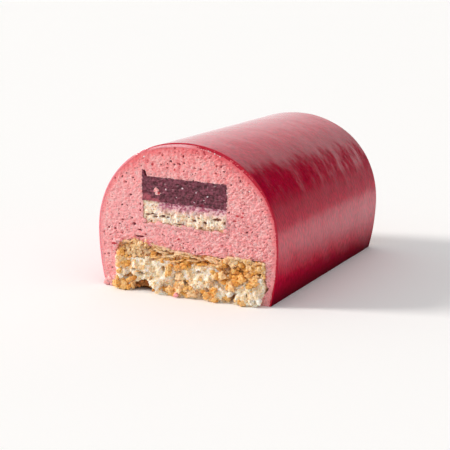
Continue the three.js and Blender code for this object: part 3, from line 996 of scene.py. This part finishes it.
def makeMousse(glazeShell, crunch):
    shape = copyOfNode("mousse", "mousseShape")
    low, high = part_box("mousse")
    wider = 1 + mousse["reach"] / high.x
    taller = 1 + mousse["reach"] / (high.z - archSpring)
    pickVertices(shape, onArch)
    bpy.ops.transform.resize(value=(wider, 1, 1), center_override=(0, 0, 0))
    bpy.ops.object.mode_set(mode="OBJECT")
    pickVertices(shape, lambda point: onArch(point) and point.co.z > archSpring)
    bpy.ops.transform.resize(value=(1, 1, taller), center_override=(0, 0, archSpring))
    bpy.ops.object.mode_set(mode="OBJECT")
    body = denseEndedBlock("cutMousse", (low.x * 1.1, -mousse["cutAt"], -0.1 * mm),
                           (high.x * 1.1, mousse["cutAt"], high.z * 1.05), mousse["cuts"])
    trim(body, shape)
    applyRelief(body, mousseRelief(glazeShell, crunch))
    smoothBelow(body, 50)
    bits = []
    lump = makeLump("mousseBit", 0.5, 0.9, 3)
    for end in (-1, 1):
        for across, up, out, wide, deep, tall in mousse["smears"]:
            where = (across * mm, end * (mousse["cutAt"] + out * mm), up * mm)
            bits.append(copyTo(lump, where, 1, (0, 0, 0), (wide, deep, tall), {"rim": 1.0}))
    removePiece(lump)
    for bit in bits:
        makeActive(bit)
        bpy.ops.object.shade_smooth()
    body = joinAll([body] + bits, "cutMousse")
    restOnFloor(body)
    return body


def flatOnCut(tree, place):
    # the relief and the finish both read their patterns from the flat cut, so that they agree
    parts = addNode(tree, "SeparateXYZ", {"Vector": place})
    side = addNode(tree, "Math", {0: parts.outputs["Y"]}, operation="SIGN")
    apart = addNode(tree, "Math", {0: side, 1: 0.1}, operation="MULTIPLY")
    return addNode(tree, "CombineXYZ", {"X": parts.outputs["X"], "Y": apart, "Z": parts.outputs["Z"]})


def openness(tree, cut):
    # the froth is finer and calmer at the top left, and torn by the knife at the lower right
    lean = addNode(tree, "VectorMath", {0: cut, 1: (0.7, 0, -0.7)}, operation="DOT_PRODUCT")
    leaning = addNode(tree, "MapRange",
                      {"Value": lean, "From Min": -26 * mm, "From Max": 6 * mm, "To Min": -0.15,
                       "To Max": 0.3})
    crowd = addNode(tree, "TexNoise", {"Vector": cut, "Scale": 1 / (6 * mm)})
    return addNode(tree, "Math", {0: crowd, 1: leaning})


def bubbles(tree, cut, opened):
    # how far each point is inside a bubble, and how deep that bubble goes, family by family
    warped = ragged(tree, cut, 0.4 * mm, 0.7 * mm)
    found = []
    for spacing, deep, sizes, closed in mousse["froth"]:
        bar = addNode(tree, "MapRange",
                      {"Value": opened, "From Min": 0.3, "From Max": 0.75, "To Min": closed[0],
                       "To Max": closed[1]})
        found.append((pitShare(tree, warped, spacing, sizes, bar), deep))
    found.append((placedShare(tree, warped, mousse["holes"]), mousse["holeDepth"]))
    return found


def mousseRelief(glazeShell, crunch):
    tree, start = newRelief("mousseRelief")
    place = addNode(tree, "GeometryNodeInputPosition")
    parts = addNode(tree, "SeparateXYZ", {"Vector": place})
    cut = flatOnCut(tree, place)
    onCut = liesOnCut(tree, parts, mousse["cutAt"])
    side = addNode(tree, "Math", {0: parts.outputs["Y"]}, operation="SIGN")
    distances = []
    for other in (glazeShell, crunch):
        shape = addNode(tree, "GeometryNodeObjectInfo", {"Object": other})
        near = addNode(tree, "GeometryNodeProximity",
                       {"Geometry": shape.outputs["Geometry"], "Sample Position": place})
        distances.append(near.outputs["Distance"])
    rim, seam = distances
    opened = openness(tree, cut)
    height = 0.0
    for share, deep in bubbles(tree, cut, opened):
        height = addNode(tree, "Math", {0: share, 1: -deep, 2: height}, operation="MULTIPLY_ADD")
    # curd: ridges that the knife has dragged up and to the right, higher where it has torn
    turned = addNode(tree, "VectorRotate", {"Vector": cut, "Angle": 0.65}, rotation_type="Y_AXIS")
    dragged = addNode(tree, "VectorMath", {0: turned, 1: (0.75, 1.0, 1.2)}, operation="MULTIPLY")
    for grain, calmHigh, tornHigh in ((0.9 * mm, 0.5 * mm, 1.4 * mm), (0.45 * mm, 0.4 * mm, 0.9 * mm)):
        curd = addNode(tree, "TexNoise",
                       {"Vector": dragged, "Scale": 1 / grain, "Detail": 2.0, "Roughness": 0.6})
        middled = addNode(tree, "Math", {0: curd, 1: 0.5}, operation="SUBTRACT")
        high = addNode(tree, "MapRange",
                       {"Value": opened, "From Min": 0.3, "From Max": 0.75, "To Min": calmHigh,
                        "To Max": tornHigh})
        height = addNode(tree, "Math", {0: middled, 1: high, 2: height}, operation="MULTIPLY_ADD")
    # thin gaps along the seam with the crunch
    gapWidth = noiseShare(tree, cut, 2.0 * mm, 0.5, 0.66, most=0.5 * mm)
    gap = addNode(tree, "Math", {0: seam, 1: gapWidth}, operation="LESS_THAN")
    height = addNode(tree, "Math", {0: gap, 1: -mousse["seamDepth"], 2: height}, operation="MULTIPLY_ADD")
    calm = addNode(tree, "MapRange",
                   {"Value": rim, "From Min": 0.3 * mm, "From Max": 1.3 * mm, "To Min": 0.15})
    height = addNode(tree, "Math", {0: height, 1: calm}, operation="MULTIPLY")
    # a lip where the knife has drawn the glaze and the mousse together
    along = placedShare(tree, cut, mousse["lip"])
    close = addNode(tree, "MapRange", {"Value": rim, "From Min": 0.4 * mm, "From Max": 0.15 * mm})
    lip = addNode(tree, "Math", {0: along, 1: close}, operation="MULTIPLY")
    height = addNode(tree, "Math", {0: lip, 1: 0.2 * mm, 2: height}, operation="MULTIPLY_ADD")
    outwards = addNode(tree, "Math", {0: height, 1: side}, operation="MULTIPLY")
    geometry = start
    for name, value in (("rim", rim), ("gap", gap), ("lip", lip)):
        geometry = noteOn(tree, geometry, name, value)
    offset = addNode(tree, "CombineXYZ", {"Y": outwards})
    moved = addNode(tree, "GeometryNodeSetPosition",
                    {"Geometry": geometry, "Selection": onCut, "Offset": offset})
    addNode(tree, "NodeGroupOutput", {0: moved})
    return tree


def mousseFinish():
    # whipped fruit mousse: soft, matt and open-pored, stained by the glaze along its rim, with painted
    # shade in its bubbles and gaps and painted light on its rim and lip
    material, tree, shader, place = newMaterial("fruitMousse", 0.55, (0.5, (1.0, 0.45, 0.4), 0.8 * mm))
    parts = addNode(tree, "SeparateXYZ", {"Vector": place})
    cut = flatOnCut(tree, place)
    high = addNode(tree, "MapRange",
                   {"Value": parts.outputs["Z"], "From Min": 26 * mm, "From Max": 38 * mm})
    colour = mixColour(tree, high, linear("#FFA9AB"), "#FF9C9C")
    # paler froth in small clouds, and upright smears of red above the insert
    pale = noiseShare(tree, cut, 1.4 * mm, 0.42, 0.68, detail=4.0, roughness=0.7)
    colour = mixColour(tree, pale, colour, "#FFC4C2")
    upright = addNode(tree, "VectorMath", {0: cut, 1: (1.0, 1.0, 0.2)}, operation="MULTIPLY")
    smeared = noiseShare(tree, upright, 1.3 * mm, 0.5, 0.72, most=0.8)
    redder = addNode(tree, "Math", {0: smeared, 1: high}, operation="MULTIPLY")
    colour = mixColour(tree, redder, colour, "#EE6E74")
    # painted shade in each bubble, darker the deeper it goes
    for share, deep in bubbles(tree, cut, openness(tree, cut)):
        paintedPitShade = addNode(tree, "Math", {0: share, 1: min(1, deep / (0.5 * mm))}, operation="MULTIPLY")
        colour = mixColour(tree, paintedPitShade, colour, "#983C4E")
    # the finest of the froth, as bump, with painted shade between its grains
    shadeBetweenGrains = addGrit(tree, shader, place, 0.5 * mm, 0.32, 0.7, 0.22 * mm)
    colour = mixColour(tree, shadeBetweenGrains, colour, "#CC6470")
    stain = placedShare(tree, ragged(tree, cut, 0.5 * mm, 0.5 * mm), mousse["stains"])
    colour = mixColour(tree, stain, colour, "#C8323E")
    # painted shade in the thin gaps along the seam with the crunch
    colour = mixColour(tree, noted(tree, "gap"), colour, "#7E3B2C")
    # the stain of the glaze along the rim, with painted light: pale and faint at the left, where light
    # shines through the glaze, and strong opposite
    across = addNode(tree, "MapRange",
                     {"Value": parts.outputs["X"], "From Min": -16 * mm, "From Max": 12 * mm})
    upLeft = addNode(tree, "MapRange",
                     {"Value": parts.outputs["Z"], "From Min": 20 * mm, "From Max": 36 * mm})
    backlitStainTone = mixColour(tree, upLeft, linear("#F8828A"), "#EC5660")
    stainToneWithBacklight = mixColour(tree, across, backlitStainTone, "#DC3048")
    wide = addNode(tree, "MapRange",
                   {"Value": parts.outputs["Z"], "From Min": 32 * mm, "From Max": 41 * mm,
                    "To Min": 1.8 * mm, "To Max": 3.4 * mm})
    strong = addNode(tree, "MapRange",
                     {"Value": parts.outputs["Z"], "From Min": 6 * mm, "From Max": 24 * mm,
                      "To Min": 0.35, "To Max": 0.72})
    tint = addNode(tree, "MapRange",
                   {"Value": noted(tree, "rim"), "From Min": 0.1 * mm, "From Max": wide, "To Min": strong,
                    "To Max": 0.0})
    colour = addNode(tree, "Mix", {"Factor": tint, "A": colour, "B": stainToneWithBacklight}, data_type="RGBA")
    # painted highlight: the lip is paled as if it caught the light
    setColour(tree, shader, mixColour(tree, noted(tree, "lip"), colour, "#FFB0B8"))
    return material


jelly = {
    "grow": 0.42 * mm,
    "cutAt": 39.08 * mm,
    "cuts": (99,),
    # the spike at its left end and the foot of that lean left, and where the foot's points are found
    "spike": 0.8 * mm,
    "spikeFoot": 0.45 * mm,
    "footAcross": (0.6 * mm, 2.2 * mm),
    "footDepth": 3 * mm,
    # pale spots painted into the colour as glints: painted highlights
    "glints": [(-0.7, 30.0, 0.5, 0.25), (2.9, 26.6, 0.4, 0.2), (7.0, 28.5, 0.35, 0.2),
               (5.9, 27.3, 0.35, 0.2), (-5.8, 29.4, 0.3, 0.4), (-2.6, 27.5, 0.25, 0.2),
               (3.6, 29.4, 0.35, 0.2)],
    "red": [(-11.8, 26.9, 1.9, 1.3), (-9.2, 26.1, 2.2, 0.7)],
    "crimson": [(5.3, 25.9, 1.1, 0.5)],
}


def makeJelly():
    low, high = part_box("fruit_jelly")
    shape = copyOfNode("fruit_jelly", "jellyShape")
    pickVertices(shape, lambda point: True)
    bpy.ops.transform.shrink_fatten(value=jelly["grow"], use_even_offset=True)
    bpy.ops.object.mode_set(mode="OBJECT")
    # the spike at its left end runs up to an edge
    pickVertices(shape, lambda point: point.co.z > high.z and point.co.x > low.x)
    bpy.ops.transform.translate(value=(-jelly["spike"], 0, 0))
    bpy.ops.object.mode_set(mode="OBJECT")

    def spikeFoot(point):
        nearest, furthest = jelly["footAcross"]
        across = nearest < point.co.x - low.x < furthest
        return across and -jelly["footDepth"] < point.co.z - high.z < 0

    pickVertices(shape, spikeFoot)
    bpy.ops.transform.translate(value=(-jelly["spikeFoot"], 0, 0))
    bpy.ops.object.mode_set(mode="OBJECT")
    body = denseEndedBlock("fruitJelly", (low.x - mm, -jelly["cutAt"], low.z - mm),
                           (high.x + mm, jelly["cutAt"], high.z + mm), jelly["cuts"])
    trim(body, shape)
    applyRelief(body, jellyRelief())
    smoothBelow(body, 50)
    return body


def jellyRelief():
    # a grainy cut with ragged edges: the points of the cut also wander sideways
    tree, start = newRelief("jellyRelief")
    place = addNode(tree, "GeometryNodeInputPosition")
    parts = addNode(tree, "SeparateXYZ", {"Vector": place})
    onCut = liesOnCut(tree, parts, jelly["cutAt"])
    wander = ragged(tree, place, 0.8 * mm, 0.7 * mm)
    grain = ragged(tree, wander, 0.35 * mm, 0.3 * mm)
    moved = addNode(tree, "GeometryNodeSetPosition",
                    {"Geometry": start, "Selection": onCut, "Position": grain})
    addNode(tree, "NodeGroupOutput", {0: moved})
    return tree


def jellyFinish():
    # dark fruit jelly with its pulp: dense and faintly moist, redder where it is thin at the left
    material, tree, shader, place = newMaterial("fruitJelly", 0.36, (0.2, (1.0, 0.3, 0.4), 0.8 * mm))
    cut = flatOnCut(tree, place)
    pulp = noiseShare(tree, cut, 0.75 * mm, 0.38, 0.66, detail=5.0, roughness=0.7)
    colour = mixColour(tree, pulp, linear("#46121F"), "#984A5E")
    upright = addNode(tree, "VectorMath", {0: cut, 1: (1.0, 1.0, 0.15)}, operation="MULTIPLY")
    streaked = noiseShare(tree, upright, 1.2 * mm, 0.56, 0.75, most=0.5)
    colour = mixColour(tree, streaked, colour, "#8A5262")
    uneven = ragged(tree, cut, 0.7 * mm, 0.9 * mm)
    # red and crimson stains, and pale glints that are painted highlights
    for spots, tone in (("red", "#B05462"), ("crimson", "#7A1030"), ("glints", "#E9D3DA")):
        colour = mixColour(tree, placedShare(tree, uneven, jelly[spots]), colour, tone)
    setColour(tree, shader, colour)
    return material


def makeBeads():
    draw = random.Random(glaze["beadSeed"])
    bead = makeLump("bead", 0.25, 1.6, 3)
    made = []
    for end in (-1, 1):
        for across, up, radius in glaze["beads"]:
            turn = (draw.uniform(-1, 1), 0, draw.uniform(-1, 1))
            squash = (draw.uniform(0.9, 1.4), 0.7, draw.uniform(0.7, 1.0))
            where = (across * mm, end * (halfLength + 0.05 * mm), up * mm)
            made.append(copyTo(bead, where, radius, turn, squash, {}))
    removePiece(bead)
    piece = joinAll(made, "glazeBeads")
    smoothBelow(piece, 60)
    return piece


def beadFinish():
    # drops of glaze, wet and coloured pale as painted highlights, as if they caught the light
    material, tree, shader, place = newMaterial("paleGlazeBeads", 0.12, (0.3, (1.0, 0.4, 0.4), 0.5 * mm))
    clouds = addNode(tree, "TexNoise", {"Vector": place, "Scale": 1 / (0.4 * mm)})
    setColour(tree, shader, mixColour(tree, clouds, linear("#FFF2F0"), "#FBCFCF"))
    return material


def settle(piece, material, node=None):
    piece.data.materials.clear()
    piece.data.materials.append(material)
    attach(piece, "root")
    if node:
        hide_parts(node)


redGlaze = makeGlaze()
settle(redGlaze, glazeFinish(), "mirror_glaze")
settle(makeBeads(), beadFinish())
print("glaze poured")
spongeBase = tornCore("base_sponge", "baseSponge", baseSponge)
settle(spongeBase, baseSpongeFinish(), "base_sponge")
print("base sponge torn")
crunchCore = tornCore("nut_crunch", "nutCrunch", nutCrunch)
settle(crunchCore, nutCrunchFinish(), "nut_crunch")
toasted = granuleFinish()
settle(makeGranules((spongeBase, crunchCore)), toasted)
settle(makeFlakes(), toasted)
print("crunch heaped")
settle(makeMousse(redGlaze, crunchCore), mousseFinish(), "mousse")
print("mousse cut")
settle(makeJelly(), jellyFinish(), "fruit_jelly")
insertCore = tornCore("insert_sponge", "insertSponge", insertSponge)
settle(insertCore, insertSpongeFinish(), "insert_sponge")
print("insert in place")


studio = {
    "floorSize": 12,
    "keyFrom": (-0.80, -0.30, 0.50),
    "keyAngle": 14,  # how wide the light looks, in degrees
    "keyStrength": 2.2,
    "keyColour": "#FFFAF4",
}


def makeFloor():
    # white and matt, and unseen by the glaze, which would otherwise be pale where it should be deep
    deselectAll()
    bpy.ops.mesh.primitive_plane_add(size=studio["floorSize"], location=(0, 0, 0))
    floor = bpy.context.object
    floor.name = "floor"
    material, _, shader, _ = newMaterial("mattWhiteFloor", 0.9)
    shader.inputs["Base Color"].default_value = linear("#FFFFFF")
    floor.data.materials.append(material)
    floor.visible_glossy = False


# grey levels of the surroundings by height, as the sine of the angle above the horizon
surroundings = {
    "backLeft": [(-1, 0.01), (-0.35, 0.01), (-0.31, 0.25), (-0.28, 0.5), (-0.25, 0.8), (-0.21, 0.97),
                 (0.3, 0.97), (0.36, 0.85), (0.45, 0.7), (1, 0.7)],
    "backRight": [(-1, 0.01), (-0.35, 0.01), (-0.31, 0.25), (-0.28, 0.5), (-0.25, 0.8), (-0.21, 0.97),
                  (-0.14, 0.9), (-0.07, 0.42), (-0.01, 0.34), (0.1, 0.3), (0.18, 0.12), (0.25, 0.01),
                  (0.46, 0.005), (0.55, 0.5), (1, 0.7)],
    "front": [(-1, 0.05), (-0.36, 0.05), (-0.31, 0.8), (0, 0.6), (1, 0.7)],
    "edge": 0.31,  # where the dark part begins to the right, low down
    "edgeFrom": 0.21,  # above this height the edge leans left, as far as it rises
    "edgeSoft": 0.04,
    "turn": (0.2, -0.3),  # from behind the log to before it
}


def addKeyLight():
    towards = Vector(studio["keyFrom"])
    bpy.ops.object.light_add(type="SUN", location=towards * 0.5)
    sun = bpy.context.object
    sun.name = "keyFromLeft"
    sun.data.angle = math.radians(studio["keyAngle"])
    sun.data.energy = studio["keyStrength"]
    sun.data.color = linear(studio["keyColour"])[:3]
    sun.rotation_euler = (-towards).to_track_quat("-Z", "Y").to_euler()


def levelRamp(tree, height, levels):
    ramp = addNode(tree, "ValToRGB", {"Fac": height})
    elements = ramp.color_ramp.elements
    elements.remove(elements[-1])
    for i, (sine, level) in enumerate(levels):
        element = elements[0] if i == 0 else elements.new((sine + 1) / 2)
        element.position = (sine + 1) / 2
        element.color = (level, level, level, 1)
    return ramp


def makeWorld():
    world = bpy.data.worlds.new("studio")
    bpy.context.scene.world = world
    world.use_nodes = True
    tree = world.node_tree
    tree.nodes.clear()
    way = addNode(tree, "TexCoord").outputs["Generated"]
    parts = addNode(tree, "SeparateXYZ", {"Vector": way})
    height = addNode(tree, "MapRange", {"Value": parts.outputs["Z"], "From Min": -1.0})
    sides = ("backLeft", "backRight", "front")
    left, right, front = (levelRamp(tree, height, surroundings[side]) for side in sides)
    top = surroundings["edgeFrom"]
    edge, soft = surroundings["edge"], surroundings["edgeSoft"]
    turnFrom, turnTo = surroundings["turn"]
    lean = addNode(tree, "MapRange",
                   {"Value": parts.outputs["Z"], "From Min": top, "From Max": 1.0, "To Max": 1.0 - top})
    past = addNode(tree, "Math", {0: parts.outputs["X"], 1: lean})
    sideways = addNode(tree, "MapRange",
                       {"Value": past, "From Min": edge - soft, "From Max": edge + soft},
                       interpolation_type="SMOOTHSTEP")
    forwards = addNode(tree, "MapRange",
                       {"Value": parts.outputs["Y"], "From Min": turnFrom, "From Max": turnTo},
                       interpolation_type="SMOOTHSTEP")
    behind = addNode(tree, "Mix", {"Factor": sideways, "A": left, "B": right}, data_type="RGBA")
    around = addNode(tree, "Mix", {"Factor": forwards, "A": behind, "B": front}, data_type="RGBA")
    seen = addNode(tree, "LightPath").outputs["Is Camera Ray"]
    mixed = mixColour(tree, seen, around, "#FFFFFF")
    background = addNode(tree, "Background", {"Color": mixed, "Strength": 1.0})
    addNode(tree, "OutputWorld", {"Surface": background})


makeFloor()
makeWorld()
addKeyLight()
bpy.context.scene.view_settings.view_transform = "Standard"
bpy.context.scene.view_settings.look = "None"
print("light set")
